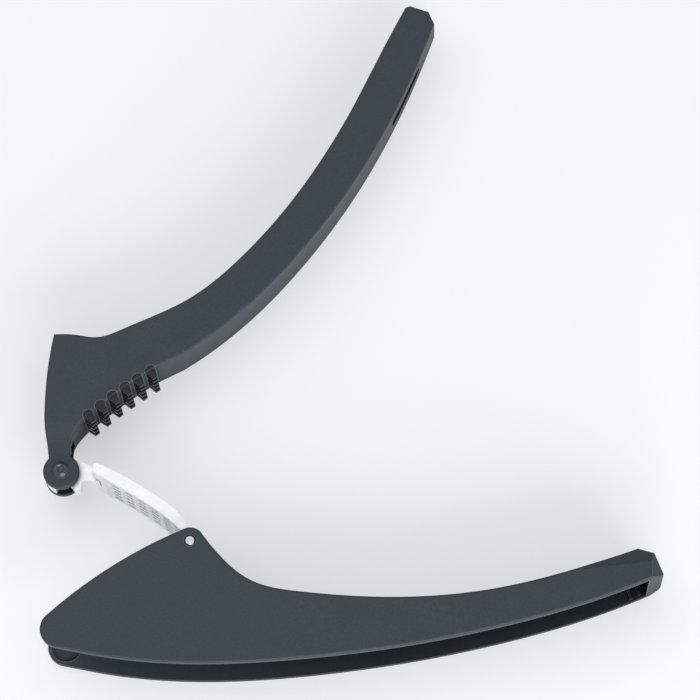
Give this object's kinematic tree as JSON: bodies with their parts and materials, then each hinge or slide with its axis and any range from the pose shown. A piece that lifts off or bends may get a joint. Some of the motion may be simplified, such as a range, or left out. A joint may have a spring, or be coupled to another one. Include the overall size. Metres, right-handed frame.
{
  "type": "garlic press",
  "caption": "Hand garlic press lying open on its side: hollow lower handle, swinging perforated sieve link, and upper handle with a plunger head and cleaning pins.",
  "frame": {"origin": "middle of the object's bounding box, on the surface that it lies on", "axes": "+Z is the width of the press and both hinge axes, up from the surface; +X runs from the head towards the lower handle's tip; +Y from the lower handle towards the upper one"},
  "size_m": [0.194, 0.223, 0.0273],
  "materials": {
    "handle_shell": "matte dark slate moulded plastic, fine texture",
    "hinge_pin": "plain turned steel",
    "sieve_cast": "polished stainless steel casting",
    "sieve_sheet": "satin stainless steel sheet with punched slots",
    "axle": "plain steel rod",
    "cap": "satin dark plastic",
    "comb": "satin near-black plastic"
  },
  "bodies": {
    "lower": {"lower_handle": "handle_shell", "sieve_hinge_pin": "hinge_pin"},
    "sieve": {"sieve_frame": "sieve_cast", "sieve_plate": "sieve_sheet"},
    "upper": {"upper_handle": "handle_shell", "pivot_axle": "axle", "axle_cap_front": "cap", "axle_cap_rear": "cap", "comb_row_1": "comb", "comb_row_2": "comb", "comb_row_3": "comb", "comb_row_4": "comb", "comb_row_5": "comb", "comb_row_6": "comb"}
  },
  "joints": [
    {"name": "sieve_hinge", "type": "hinge", "parent": "lower", "child": "sieve", "pos_m": [-0.04969, -0.07264, 0.01365], "axis": [0, 0, 1], "range_deg": [0, 66]},
    {"name": "handle_hinge", "type": "hinge", "parent": "sieve", "child": "upper", "pos_m": [-0.09131, -0.04734, 0.01365], "axis": [0, 0, 1], "range_deg": [-59, 228]}
  ]
}
